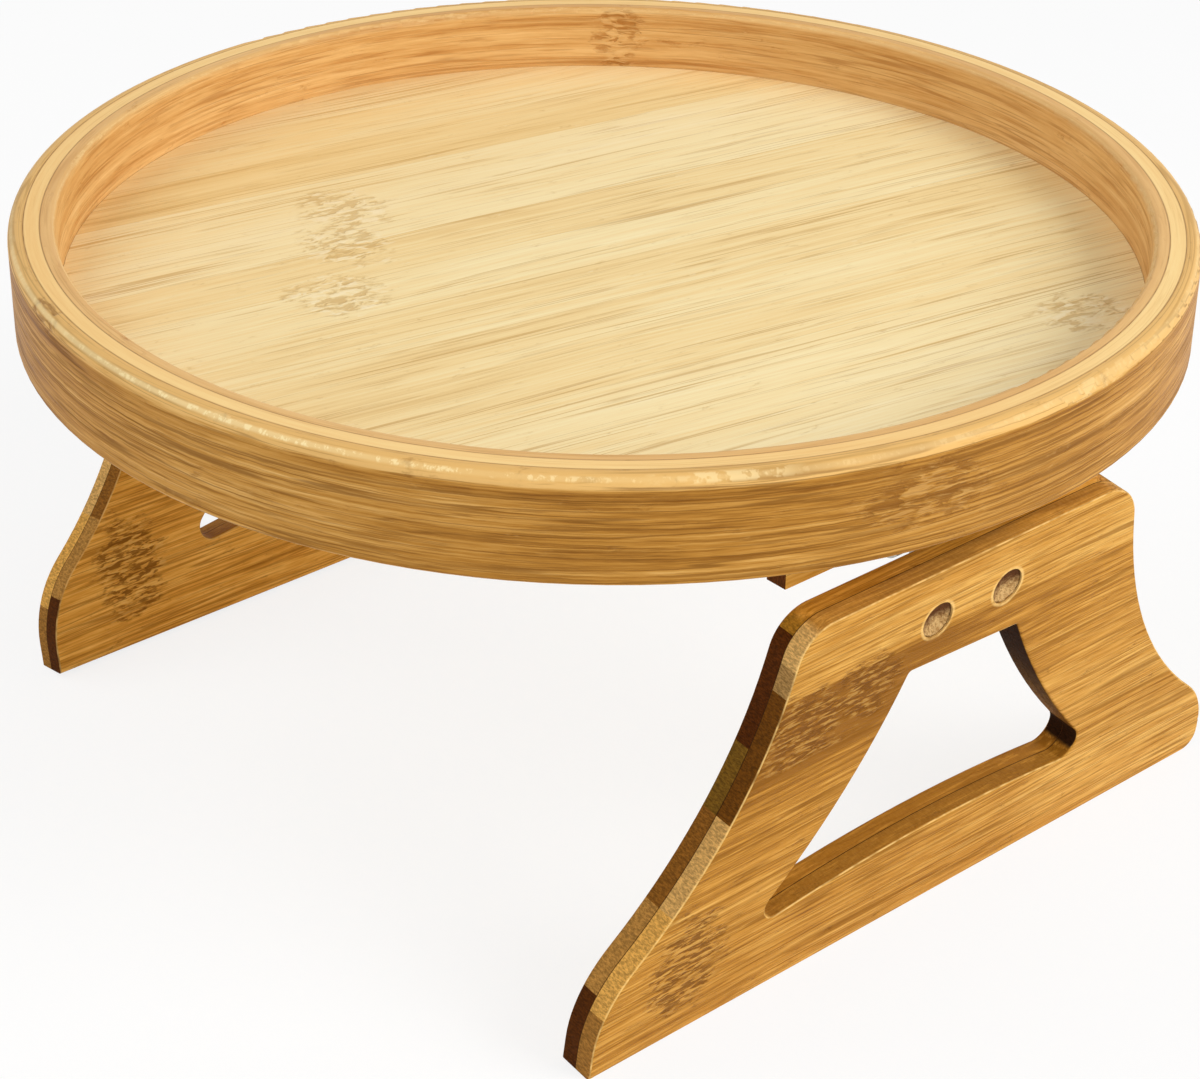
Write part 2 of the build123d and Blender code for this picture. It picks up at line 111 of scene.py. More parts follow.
class Shader:
    """The node tree of a material or a world, built by short calls that take and give sockets or numbers."""

    def __init__(self, owner):
        owner.use_nodes = True
        self.owner = owner
        self.tree = owner.node_tree
        self.tree.nodes.clear()

    def put(self, value, socket):
        """Links value to the socket where it is one itself, and else sets the socket to it."""
        if isinstance(value, bpy.types.NodeSocket):
            self.tree.links.new(value, socket)
        else:
            socket.default_value = value

    def node(self, kind, **settings):
        made = self.tree.nodes.new(kind)
        for key, value in settings.items():
            setattr(made, key, value)
        return made

    def math(self, operation, a, b=0.0):
        made = self.node("ShaderNodeMath", operation=operation)
        self.put(a, made.inputs[0])
        self.put(b, made.inputs[1])
        return made.outputs[0]

    def add(self, *values):
        total = values[0]
        for value in values[1:]:
            total = self.math("ADD", total, value)
        return total

    def minus(self, a, b):
        return self.math("SUBTRACT", a, b)

    def times(self, a, b):
        return self.math("MULTIPLY", a, b)

    def larger(self, a, b):
        return self.math("MAXIMUM", a, b)

    def unsigned(self, value):
        return self.math("ABSOLUTE", value)

    def centred(self, value):
        """A noise about 0 instead of about a half."""
        return self.add(value, -0.5)

    def squares(self, a, b):
        return self.add(self.times(a, a), self.times(b, b))

    def length(self, a, b):
        return self.math("SQRT", self.squares(a, b))

    def vector_math(self, operation, a, b):
        made = self.node("ShaderNodeVectorMath", operation=operation)
        self.put(a, made.inputs[0])
        self.put(b, made.inputs[1])
        return made

    def dot(self, a, b):
        return self.vector_math("DOT_PRODUCT", a, b).outputs["Value"]

    def vector(self, x, y, z):
        made = self.node("ShaderNodeCombineXYZ")
        for value, socket in zip((x, y, z), made.inputs):
            self.put(value, socket)
        return made.outputs[0]

    def scale(self, vector, factor):
        made = self.node("ShaderNodeVectorMath", operation="SCALE")
        self.put(vector, made.inputs[0])
        self.put(factor, made.inputs["Scale"])
        return made.outputs[0]

    def stretch(self, vector, factors):
        """A vector of three parts, each times its own factor."""
        return self.vector(*[self.times(part, factor) for part, factor in zip(vector, factors)])

    def split(self, vector):
        made = self.node("ShaderNodeSeparateXYZ")
        self.put(vector, made.inputs[0])
        return made.outputs[0], made.outputs[1], made.outputs[2]

    def noise(self, vector, scale=1.0, detail=2.0, roughness=0.5, distortion=0.0):
        made = self.node("ShaderNodeTexNoise")
        self.put(vector, made.inputs["Vector"])
        made.inputs["Scale"].default_value = scale
        made.inputs["Detail"].default_value = detail
        made.inputs["Roughness"].default_value = roughness
        made.inputs["Distortion"].default_value = distortion
        return made.outputs["Fac"]

    def random(self, value):
        made = self.node("ShaderNodeTexWhiteNoise", noise_dimensions="1D")
        self.put(value, made.inputs["W"])
        return made.outputs["Value"]

    def step(self, value, low, high, to_low=0.0, to_high=1.0):
        """value eased from to_low at low to to_high at high."""
        made = self.node("ShaderNodeMapRange", interpolation_type="SMOOTHSTEP")
        self.put(value, made.inputs["Value"])
        for name, number in (("From Min", low), ("From Max", high), ("To Min", to_low), ("To Max", to_high)):
            made.inputs[name].default_value = number
        return made.outputs["Result"]

    def fade(self, value, low, high):
        """1 at low, eased to 0 at high."""
        return self.step(value, low, high, 1.0, 0.0)

    def band(self, value, low, high):
        """1 between two places and 0 outside them. low and high are the eased stretches at its ends."""
        return self.times(self.step(value, *low), self.fade(value, *high))

    def place_between(self, value, low, high):
        """value's place between low and high, from 0 to 1."""
        made = self.node("ShaderNodeMapRange")
        self.put(value, made.inputs["Value"])
        made.inputs["From Min"].default_value = low
        made.inputs["From Max"].default_value = high
        return made.outputs["Result"]

    def mix(self, factor, a, b):
        made = self.node("ShaderNodeMix", data_type="RGBA")
        self.put(factor, made.inputs["Factor"])
        self.put(a, made.inputs["A"])
        self.put(b, made.inputs["B"])
        return made.outputs["Result"]

    def ramp(self, factor, stops, interpolation="LINEAR"):
        made = self.node("ShaderNodeValToRGB")
        self.put(factor, made.inputs["Fac"])
        made.color_ramp.interpolation = interpolation
        elements = made.color_ramp.elements
        while len(elements) < len(stops):
            elements.new(0.5)
        for element, (place, colour) in zip(elements, stops):
            element.position = place
            element.color = colour
        return made.outputs["Color"]

    def bump(self, height, distance, strength=1.0):
        """A normal from height. distance is in millimetres."""
        made = self.node("ShaderNodeBump")
        made.inputs["Distance"].default_value = distance * MM
        made.inputs["Strength"].default_value = strength
        self.put(height, made.inputs["Height"])
        return made.outputs["Normal"]

    def mix_shaders(self, share, first, second):
        made = self.node("ShaderNodeMixShader")
        for value, socket in zip((share, first, second), made.inputs):
            self.put(value, socket)
        return made.outputs[0]

    def backdrop_rays(self):
        """1 for the rays that show the background: the camera's, and those that gloss and glass send on."""
        path = self.node("ShaderNodeLightPath")
        seen = self.larger(path.outputs["Is Camera Ray"], path.outputs["Is Glossy Ray"])
        return self.larger(seen, path.outputs["Is Transmission Ray"])

    def finish(self, colour, roughness, normal, **fixed):
        """Ends the tree in a Principled shader. Names in fixed are its plain sockets."""
        surface = self.node("ShaderNodeBsdfPrincipled")
        self.put(colour, surface.inputs["Base Color"])
        self.put(roughness, surface.inputs["Roughness"])
        self.put(normal, surface.inputs["Normal"])
        for name, value in fixed.items():
            surface.inputs[name.replace("_", " ")].default_value = value
        return self.end(surface.outputs[0], "ShaderNodeOutputMaterial")

    def end(self, surface, kind):
        self.put(surface, self.node(kind).inputs["Surface"])
        return self.owner


def material_shader(name):
    return Shader(bpy.data.materials.new(name))


# Where a point of the surface lies, and which way it looks.
def row_place(shader):
    """A point's place in the row frame, in millimetres, the same in every pose."""
    return shader.scale(shader.node("ShaderNodeTexCoord").outputs["Object"], 1 / MM)


def row_normal(shader):
    return shader.node("ShaderNodeTexCoord").outputs["Normal"]


def row_parts(shader):
    return shader.split(row_place(shader))


def normal_parts(shader):
    return shader.split(row_normal(shader))


# Grain spaces: the distances along, across and into the grain, in millimetres.
def floor_space(shader):
    """The floor's strips run a little askew to the legs."""
    turn = radians(-10.0)
    place = row_place(shader)
    along = shader.dot(place, (cos(turn), sin(turn), 0.0))
    across = shader.dot(place, (-sin(turn), cos(turn), 0.0))
    return along, across, shader.split(place)[2]


def ring_radius(shader):
    x, y, _ = row_parts(shader)
    return shader.length(x, y)


def ring_space(shader):
    """Grain that runs round the rim, unrolled: the way round and the way across, and then x and y."""
    x, y, z = row_parts(shader)
    around = shader.times(shader.math("ARCTAN2", y, x), tray_radius)
    return around, shader.add(z, ring_radius(shader)), x, y


def leg_space(shader):
    """Both legs share one space, mirrored about the tray's middle plane and measured from their pockets."""
    x, y, z = row_parts(shader)
    mirrored = shader.vector(x, shader.times(shader.unsigned(y), -1.0), z)
    reach = shader.vector_math("SUBTRACT", mirrored, hole_centre).outputs[0]
    return x, shader.dot(reach, leg_up), shader.dot(reach, leg_normal)


def leg_vector(shader):
    return shader.vector(*leg_space(shader))


# The grain itself.
def grain_noise(shader, space, along_scale, across_scale, detail=2.0, roughness=0.5, distortion=0.0):
    """Noise drawn out along the grain. The scales are features per millimetre.

    Round the rim the way along is given by x and y, so the grain closes on itself."""
    if len(space) == 4:
        _, across, x, y = space
        stretched = shader.stretch((x, across, y), (along_scale, across_scale, along_scale))
    else:
        stretched = shader.stretch(space, (along_scale, across_scale, across_scale))
    return shader.noise(stretched, 1.0, detail, roughness, distortion)


def fibre_lines(shader, space, along_scale, across_scale, width, share):
    """Thin dark fibres: where a drawn-out noise crosses its middle, and another lets them show.

    width is the stretch of noise that a line takes up, and share says how many of the lines show."""
    core_share, gap_along, gap_across = 0.2, 2.3, 0.37
    shown_from, shown_to, share_drop = 0.62, 0.74, 0.30
    level = grain_noise(shader, space, along_scale, across_scale, detail=1.0)
    line = shader.fade(shader.unsigned(shader.centred(level)), core_share * width, width)
    shown = grain_noise(shader, space, along_scale * gap_along, across_scale * gap_across)
    drop = share_drop * share
    return shader.times(line, shader.step(shown, shown_from - drop, shown_to - drop))


def joint_rings(shader, space, rings, ripples, darkest):
    """Where a culm's joint was planed through: how much of a ring lies here, its dark ripples and pale ones.

    rings are (along, across, half length, half width), in millimetres. ripples says how many ripples lie in
    a millimetre along and across the grain, and how wavy they are. darkest is the noise at which a ripple is
    darkest: the nearer to dark_from, the sharper they are."""
    ring_end, raggedness, patch_from, patch_to = 1.5, 3.2, 0.20, 1.00
    dark_from, pale_from, palest = 0.49, 0.47, 0.38
    along, across = space[0], space[1]
    patch = 0.0
    for ring_along, ring_across, half_length, half_width in rings:
        reach_along = shader.math("DIVIDE", shader.minus(along, ring_along), half_length)
        reach_across = shader.math("DIVIDE", shader.minus(across, ring_across), half_width)
        patch = shader.larger(patch, shader.fade(shader.squares(reach_along, reach_across), 0.0, ring_end))
    ragged = grain_noise(shader, space, along_scale=0.14, across_scale=0.34, detail=4.0, roughness=0.70)
    patch = shader.add(patch, shader.times(shader.centred(ragged), raggedness))
    patch = shader.step(patch, patch_from, patch_to)
    along_scale, across_scale, wave = ripples
    level = grain_noise(shader, space, along_scale, across_scale, roughness=0.6, distortion=wave)
    dark = shader.times(patch, shader.step(level, dark_from, darkest))
    return patch, dark, shader.times(patch, shader.step(level, pale_from, palest))


def bamboo(name, space, tones, *, strip_width, strip_share, contrast, drift, fibres, shortness, line_share,
           line_depth, grain=0.45, shade=None, calm=None, rings=(), ring_tone=None, ring_depth=0.6,
           ring_light=0.3, ring_field=0.12, ripples=None, darkest=0.57, ends=None, glue_and_bounce=None,
           glue_and_bounce_tone=None, edge=None, edge_tone=None, specular=0.06):
    """Lacquered bamboo strips. space(shader) gives how far a point lies along, across and into the grain.

    tones are five colours: the thin lines, then from the darkest streak to the palest.
    strip_width is in millimetres, and strip_share says how much the strips differ in tone.
    grain and contrast are those of the fine fibres and of the bands of fibres, and drift that of broad
    stretches. fibres says how many bands lie in a millimetre and shortness how soon they end.
    line_share and line_depth say how many thin lines show and how dark they are.
    shade(shader) is added to the tone, and calm(shader) is how much of the streaks and lines shows.
    rings, ripples and darkest are those of joint_rings. ring_depth, ring_light and ring_field are how much
    of ring_tone, of the palest tone and of the darkest streak the ripples and the field between them take.
    ends(shader) gives how much end grain shows and its colour. stain and edge are how much of
    glue_and_bounce_tone
    and edge_tone lies on top: stain lays glue lines, and on the floor a painted warm bounce light, and edge
    lays painted highlights along arrises, with the rim's chips."""
    shader = material_shader(name)
    where = space(shader)
    along, across = where[0], where[1]

    # Strips: each has its own tone and its own stretch of the grain.
    bend, bends_along, bends_across = 2.2, 0.012, 0.03
    strip_shift, seam_width = 400.0, 0.20
    slow_place = shader.vector(shader.times(along, bends_along), shader.times(across, bends_across), 0.0)
    bent = shader.add(across, shader.times(shader.noise(slow_place, detail=1.0), bend))
    tone = shader.random(shader.math("FLOOR", shader.math("DIVIDE", bent, strip_width)))
    place = where
    if len(where) == 3:
        place = (shader.add(along, shader.times(tone, strip_shift)), bent, where[2])
    seam = shader.fade(shader.math("PINGPONG", bent, strip_width / 2), 0.0, seam_width)

    # Streaks: fine fibres, bands of fibres and slow changes of tone.
    band_strength, tone_levels = 1.05, (0.22, 0.42, 0.58, 0.78)
    fine = grain_noise(shader, place, along_scale=0.050 * shortness, across_scale=1.5, detail=3.0,
                       roughness=0.65)
    band = grain_noise(shader, place, along_scale=0.009 * shortness, across_scale=fibres, detail=3.0,
                       roughness=0.65, distortion=0.15)
    slow = grain_noise(shader, place, along_scale=0.007, across_scale=0.06, detail=1.0)
    streaks = shader.add(shader.times(shader.centred(fine), grain),
                         shader.times(shader.centred(band), band_strength * contrast))
    strength = calm(shader) if calm else 1.0
    level = shader.add(0.5, shader.times(streaks, strength), shader.times(shader.centred(slow), drift),
                       shader.times(shader.centred(tone), strip_share))
    if shade:
        level = shader.add(level, shade(shader))
    colour = shader.ramp(level, list(zip(tone_levels, tones[1:])))

    # Thin lines along the fibres, and the strips' seams.
    fine_share, seam_share, fibre_rise, line_rise = 0.7, 0.5, 0.5, -0.7
    coarse_lines = fibre_lines(shader, place, along_scale=0.0055 * shortness, across_scale=0.50,
                               width=0.040, share=line_share)
    fine_lines = fibre_lines(shader, place, along_scale=0.014 * shortness, across_scale=1.25,
                             width=0.055, share=line_share)
    lines = shader.larger(coarse_lines, shader.times(fine_lines, fine_share))
    lines = shader.times(shader.larger(lines, shader.times(seam, seam_share)), strength)
    colour = shader.mix(shader.times(lines, line_depth), colour, tones[0])
    height = shader.add(shader.times(fine, fibre_rise), shader.times(lines, line_rise))

    if rings:
        dark_rise, pale_rise = -2.2, 0.8
        patch, dark, pale = joint_rings(shader, where, rings, ripples, darkest)
        colour = shader.mix(shader.times(patch, ring_field), colour, tones[1])
        colour = shader.mix(shader.times(dark, ring_depth), colour, ring_tone)
        colour = shader.mix(shader.times(pale, ring_light), colour, tones[4])
        height = shader.add(height, shader.times(dark, dark_rise), shader.times(pale, pale_rise))

    # End grain: the cut ends of the fibre bundles, speckled light and dark.
    rough = 0.0
    if ends:
        bundles_per_mm, bundle_level = (2.0, 2.6, 1.0), (0.34, 0.68)
        dark_speckle, pale_speckle, bundle_rise, end_roughness = 0.66, 1.36, 1.8, 0.35
        share, end_colour = ends(shader)
        bundle = shader.noise(shader.stretch(where, bundles_per_mm), detail=3.0, roughness=0.70)
        speckle = shader.step(bundle, *bundle_level, dark_speckle, pale_speckle)
        colour = shader.mix(share, colour, shader.scale(end_colour, speckle))
        height = shader.add(height, shader.times(shader.times(share, bundle), bundle_rise))
        rough = shader.times(share, end_roughness)

    # Glue lines or the floor's painted bounce light; painted highlights and the rim's chips on the arrises.
    if glue_and_bounce:
        colour = shader.mix(glue_and_bounce(shader), colour, glue_and_bounce_tone)
    if edge:
        colour = shader.mix(edge(shader), colour, edge_tone)

    plain_roughness, fibre_roughness, line_roughness = 0.34, 0.20, 0.12
    relief, relief_strength = 0.10, 0.6
    roughness = shader.add(shader.times(fine, fibre_roughness), shader.times(lines, line_roughness),
                           plain_roughness, rough)
    normal = shader.bump(height, relief, relief_strength)
    return shader.finish(colour, roughness, normal, Specular_IOR_Level=specular)


# The floor.
def floor_painted_light(shader):
    """Painted light: the floor's strips on the near leg's side are a little paler."""
    near, middle, paler = -100.0, 0.0, 0.07
    _, y, _ = row_parts(shader)
    return shader.step(y, near, middle, paler, 0.0)


def floor_painted_bounce(shader):
    """How much of a warmer tone the floor's strips on the far leg's side take: painted warm light bounced
    off the rim's walls.
    """
    middle, far, warmest = 0.0, 110.0, 0.28
    _, y, _ = row_parts(shader)
    return shader.step(y, middle, far, 0.0, warmest)


floor_bamboo = bamboo(
    "floor_bamboo", floor_space,
    [srgb(196, 152, 86), srgb(226, 188, 122), srgb(245, 216, 156), srgb(250, 230, 178), srgb(255, 240, 202)],
    strip_width=17.0, strip_share=0.18, contrast=0.36, drift=0.30, fibres=0.60, shortness=1.0,
    line_share=0.42, line_depth=0.60, grain=0.30, shade=floor_painted_light,
    rings=[(-37, 51, 11, 12), (-45, 35, 11, 13), (-57.6, 12, 12, 11), (73, -71, 11, 10)],
    ring_tone=srgb(198, 158, 94), ring_depth=0.52, ring_light=0.6, ripples=(0.24, 0.55, 0.6),
    # The floor's warmer tone is painted warm bounce light from the rim's walls.
    glue_and_bounce=floor_painted_bounce, glue_and_bounce_tone=srgb(238, 178, 88))

# The rim. Chips and painted glints lie at these places on its edge, in millimetres from the tray's middle.
chip_place = (-64.8, -106.9)
glint_place = (-113.3, -52.8)


def wall_shade(shader):
    """The outer wall: paler along its top edge, browner just under it, and a little paler at the left.

    The paleness at the left is a painted sheen.
    """
    edge_start, edge_end, edge_pale, wall_dark = 1.8, 3.4, 0.42, -0.05
    under_start, under_end, under_dark = 3.0, 8.0, -0.10
    left, left_end, left_painted_sheen = -122.0, -85.0, 0.09
    near, far = -20.0, 30.0
    x, y, z = row_parts(shader)
    below = shader.minus(rim_top, z)
    edge = shader.step(below, edge_start, edge_end, edge_pale, wall_dark)
    under = shader.step(below, under_start, under_end, under_dark, 0.0)
    pale = shader.times(shader.step(x, left, left_end, left_painted_sheen, 0.0), shader.fade(y, near, far))
    return shader.add(edge, under, pale)


def inner_painted_sheen(shader):
    """Painted sheen: the inner wall is a little paler towards the toes."""
    toes, heels, paler = -50.0, 40.0, 0.07
    x, _, _ = row_parts(shader)
    return shader.step(x, toes, heels, paler, 0.0)


def rim_calm(shader):
    """How much of the streaks shows: about half on the rim's sanded top."""
    wall, top, top_share = 0.25, 0.75, 0.48
    _, _, z = normal_parts(shader)
    return shader.step(z, wall, top, 1.0, top_share)


def ply_joints(shader):
    """Thin glue lines beside the rim's two joints."""
    core, edge, depth = 0.05, 0.28, 0.50
    radius = ring_radius(shader)
    outer = shader.unsigned(shader.minus(radius, middle_ply_radius))
    inner = shader.unsigned(shader.minus(radius, inner_ply_radius))
    return shader.step(shader.math("MINIMUM", outer, inner), core, edge, depth, 0.0)


def rim_reach(shader, place):
    """How far a point lies from a place on the rim, seen from above, in millimetres."""
    x, y, _ = row_parts(shader)
    return shader.length(shader.add(x, -place[0]), shader.add(y, -place[1]))


def rim_highlight_and_chips(shader):
    """The rim's rounded arris: a painted highlight line with painted glints in it, and chips here and there.

    The highlight is strongest at the left, the glints round glint_place and the chips round chip_place."""
    plain_line, left_highlight, left_places = 0.14, 0.40, (-123.0, -96.0)
    glint_level, glint_reach, near_glints, far_glints = (0.50, 0.62), (25.0, 75.0), 0.60, 0.15
    chip_level, chip_reach, chip_share = (0.49, 0.57), (7.0, 17.0), 0.55
    seldom_level, seldom_share = (0.62, 0.68), 0.6
    _, _, lean = normal_parts(shader)
    line = shader.band(lean, (0.45, 0.66), (0.78, 0.90))
    x, _, _ = row_parts(shader)
    left = shader.step(x, *left_places, left_highlight, 0.0)
    space = ring_space(shader)
    glints = grain_noise(shader, space, along_scale=0.60, across_scale=1.2, detail=3.0, roughness=0.7)
    spread = shader.step(rim_reach(shader, glint_place), *glint_reach, near_glints, far_glints)
    glints = shader.times(shader.step(glints, *glint_level), spread)
    bright = shader.times(line, shader.add(plain_line, glints, left))

    chips = grain_noise(shader, space, along_scale=0.24, across_scale=0.6, detail=3.0, roughness=0.75)
    chips = shader.step(chips, *chip_level, 0.0, chip_share)
    seldom = grain_noise(shader, space, along_scale=0.030, across_scale=0.1, detail=1.0)
    seldom = shader.step(seldom, *seldom_level, 0.0, seldom_share)
    chipped = shader.larger(seldom, shader.fade(rim_reach(shader, chip_place), *chip_reach))
    arris = shader.band(lean, (0.30, 0.55), (0.90, 0.99))
    return shader.larger(bright, shader.times(arris, shader.times(chips, chipped)))


# Plies are single strips, wider than the rim is high.
ply_look = dict(strip_width=1000.0, strip_share=0.1, drift=0.30, calm=rim_calm, glue_and_bounce=ply_joints,
                glue_and_bounce_tone=srgb(146, 92, 40))
outer_bamboo = bamboo(
    "rim_outer_bamboo", ring_space,
    [srgb(112, 68, 14), srgb(134, 84, 20), srgb(176, 122, 46), srgb(198, 146, 70), srgb(226, 180, 108)],
    contrast=0.74, fibres=1.0, shortness=1.7, line_share=0.90, line_depth=0.60, grain=0.50, shade=wall_shade,
    rings=[(-226, tray_base + tray_radius + 12, 17, 7), (365, rim_top + tray_radius, 7, 4)],
    ring_tone=srgb(126, 76, 14), ripples=(0.18, 0.70, 0.9), edge=rim_highlight_and_chips, edge_tone=srgb(250, 226, 168),
    specular=0.12, **ply_look)
middle_bamboo = bamboo(
    "rim_middle_bamboo", ring_space,
    [srgb(190, 132, 62), srgb(212, 156, 84), srgb(243, 198, 128), srgb(250, 215, 148), srgb(255, 228, 170)],
    contrast=0.5, fibres=0.5, shortness=1.6, line_share=0.4, line_depth=0.4, **ply_look)
inner_bamboo = bamboo(
    "rim_inner_bamboo", ring_space,
    [srgb(162, 104, 42), srgb(180, 122, 58), srgb(212, 159, 92), srgb(228, 182, 116), srgb(244, 204, 142)],
    contrast=0.6, fibres=0.55, shortness=1.8, line_share=0.55, line_depth=0.45, shade=inner_painted_sheen,
    rings=[(103, tray_base + well_radius + 15, 8, 9)], ring_tone=srgb(168, 106, 38), ring_light=0.35,
    ripples=(0.20, 0.60, 0.9), edge=rim_highlight_and_chips, edge_tone=srgb(250, 222, 160), specular=0.15, **ply_look)

# The legs. Each height up a leg's end begins a board of another tone, from the foot up.
outer_end_tones = [(-82, srgb(150, 104, 46)), (-66, srgb(208, 156, 76)), (-47, srgb(200, 156, 90)),
                   (-29, srgb(104, 62, 14)), (-2.5, srgb(160, 124, 72)), (3.5, srgb(206, 164, 98))]
inner_end_tones = [(-82, srgb(76, 38, 6)), (-63, srgb(166, 120, 58)), (-47, srgb(128, 82, 28)),
                   (-29, srgb(112, 80, 24)), (-15.5, srgb(78, 38, 6)), (9, srgb(150, 104, 30))]
# The window's back wall: end grain darkened with painted shadow.
window_back_shadow_tone = srgb(44, 23, 8)


def facing_x(shader):
    """How much a surface faces along the grain of the legs and rails."""
    aside, endways = 0.25, 0.62
    x, _, _ = normal_parts(shader)
    return shader.step(shader.unsigned(x), aside, endways)


def facing_z(shader, most):
    """How much a surface faces up or down, up to most."""
    upright, level = 0.40, 0.75
    _, _, z = normal_parts(shader)
    return shader.step(shader.unsigned(z), upright, level, 0.0, most)


def window_back(shader):
    """1 where a leg's surface looks to the toe from behind its middle, as the window's back wall does."""
    middle, behind, aside, toewards = 0.0, 6.0, -0.02, -0.20
    x, _, _ = row_parts(shader)
    facing, _, _ = normal_parts(shader)
    return shader.times(shader.step(x, middle, behind), shader.step(facing, aside, toewards))


def leg_ends(shader):
    """How much of the cut fibres' speckle shows: all on a leg's ends, some on its cut sides."""
    side_share, slanting, square = 0.15, -0.62, -0.86
    facing, _, _ = normal_parts(shader)
    behind = window_back(shader)
    ends = shader.add(shader.times(behind, shader.step(facing, slanting, square)),
                      shader.times(shader.minus(1.0, behind), facing_x(shader)))
    return shader.larger(ends, facing_z(shader, side_share))


def end_tones(shader, stretches):
    """One tone to each board that a leg's end cuts across.

    The window's back wall is darkest: its end grain carries painted shadow.
    """
    _, up, _ = leg_space(shader)
    place = shader.place_between(up, leg_foot, leg_top)
    stops = [((low - leg_foot) / (leg_top - leg_foot), tone) for low, tone in stretches]
    return shader.mix(window_back(shader), shader.ramp(place, stops, "CONSTANT"), window_back_shadow_tone)


def leg_outer_ends(shader):
    return leg_ends(shader), end_tones(shader, outer_end_tones)


def leg_inner_ends(shader):
    return leg_ends(shader), end_tones(shader, inner_end_tones)


def leg_boards(shader):
    """A leg's lower board is darkest just under its joint with the upper one and towards the toe.

    The heel is a little paler, and the cut sides are darker, most of all at the window's sill,
    where the extra darkness is painted shade."""
    board_depth, board_dark, joint_half, heel_share = 34.0, -0.42, 0.3, 0.30
    toe, heel, heel_end, heel_pale = -30.0, 20.0, 50.0, 0.08
    sill_low, sill_high, sill_painted_shade, side_dark = -30.0, -20.0, -0.26, -0.12
    x, up, _ = leg_space(shader)
    below = shader.minus(board_joint, up)
    dark = shader.times(shader.step(below, 0.0, board_depth, board_dark, 0.0),
                        shader.step(below, -joint_half, joint_half))
    dark = shader.times(dark, shader.step(x, toe, heel, 1.0, heel_share))
    pale = shader.step(x, heel, heel_end, 0.0, heel_pale)
    side = shader.step(up, sill_low, sill_high, sill_painted_shade, side_dark)
    return shader.add(dark, pale, shader.times(facing_z(shader, 1.0), side))


def leg_edge_highlights(shader):
    """Painted highlights on the arris round a leg's face, broken here and there,
    and on the lips of its two pockets.
    """
    lip_start, lip_end, lip_depth = 0.35, 0.95, (0.2, 0.5)
    broken_level, faint, strong = (0.36, 0.62), 0.25, 0.8
    _, facing, _ = normal_parts(shader)
    arris = shader.band(shader.unsigned(facing), (0.45, 0.70), (0.86, 0.965))
    arris = shader.times(arris, shader.minus(1.0, window_back(shader)))
    x, up, depth = leg_space(shader)
    reach = shader.length(shader.minus(shader.unsigned(x), plug_spacing / 2), up)
    lip = shader.times(shader.fade(reach, plug_radius + lip_start, plug_radius + lip_end),
                       shader.fade(shader.unsigned(depth), *lip_depth))
    broken = shader.noise(leg_vector(shader), 0.25, roughness=0.6)
    return shader.times(shader.larger(arris, lip), shader.step(broken, *broken_level, faint, strong))


def leg_joint(shader):
    """The glue line between a leg's two plies."""
    core, edge, strength = 0.04, 0.14, 0.9
    _, _, depth = leg_space(shader)
    return shader.step(shader.unsigned(shader.add(depth, ply_joint_depth)), core, edge, strength, 0.0)


leg_tones = [srgb(126, 78, 14), srgb(146, 94, 24), srgb(192, 134, 50), srgb(214, 160, 76),
             srgb(238, 192, 108)]
leg_look = dict(
    strip_width=26.0, strip_share=0.12, contrast=0.60, drift=0.36, fibres=0.60, shortness=1.7,
    line_share=0.85, line_depth=0.60, grain=0.58, shade=leg_boards,
    rings=[(-44, -12, 14, 11), (-28, -9, 10, 9), (-66, -62, 11, 15)], ring_tone=srgb(112, 66, 6),
    ring_depth=0.78, ring_light=0.28, ring_field=0.22, ripples=(0.24, 1.10, 0.3), darkest=0.53,
    glue_and_bounce=leg_joint, glue_and_bounce_tone=srgb(52, 28, 10), edge=leg_edge_highlights)
leg_outer_bamboo = bamboo("leg_outer_bamboo", leg_space, leg_tones, ends=leg_outer_ends,
                          edge_tone=srgb(240, 198, 122), **leg_look)
# The inner ply's tones are paler than the outer's: painted light for the far leg's face under the tray.
leg_inner_bamboo = bamboo(
    "leg_inner_bamboo", leg_space,
    [srgb(140, 88, 20), srgb(164, 108, 32), srgb(214, 152, 62), srgb(236, 180, 90), srgb(252, 210, 126)],
    ends=leg_inner_ends, edge_tone=srgb(220, 176, 106), **leg_look)


# The rails under the tray.
def rail_ends(shader):
    """The rails' dark ends: end grain darkened with painted shadow from the tray above."""
    red, green, blue, _ = srgb(84, 44, 14)
    return facing_x(shader), shader.vector(red, green, blue)


rail_bamboo = bamboo("rail_bamboo", row_parts, leg_tones, strip_width=22.0, strip_share=0.2, contrast=0.8,
                     drift=0.5, fibres=0.4, shortness=1.5, line_share=0.6, line_depth=0.5, ends=rail_ends)


def torn_bamboo():
    """The rough bottom of a drilled pocket: torn fibres with dark pits.

    Its top and toe side are brown with painted shadow.
    """
    heelwards, upwards, raggedness = 0.35, -0.90, 2.0
    fibre_level, painted_shadow_level, pit_level = (0.34, 0.62), (0.7, 3.4), (0.34, 0.46)
    painted_shadow_share, pit_share, relief = 0.95, 0.45, 0.35
    plain_roughness, fibre_roughness = 0.55, 0.25
    shader = material_shader("torn_bamboo")
    place = leg_vector(shader)
    coarse = shader.noise(place, 0.9, detail=3.0, roughness=0.7, distortion=0.4)
    fine = shader.noise(place, 2.6, detail=3.0, roughness=0.7)
    colour = shader.mix(shader.step(coarse, *fibre_level), srgb(168, 126, 72), srgb(218, 178, 118))
    x, up, _ = leg_space(shader)
    beside = shader.minus(x, shader.times(shader.math("SIGN", x), plug_spacing / 2))
    lower = shader.add(shader.times(beside, heelwards), shader.times(up, upwards),
                       shader.times(coarse, raggedness))
    # Painted shadow: brown over the pocket's top and toe side.
    colour = shader.mix(shader.step(lower, *painted_shadow_level, painted_shadow_share, 0.0), colour, srgb(92, 50, 24))
    colour = shader.mix(shader.step(fine, *pit_level, pit_share, 0.0), colour, srgb(96, 62, 28))
    roughness = shader.add(plain_roughness, shader.times(fine, fibre_roughness))
    normal = shader.bump(shader.add(coarse, fine), relief)
    return shader.finish(colour, roughness, normal, Specular_IOR_Level=0.1)


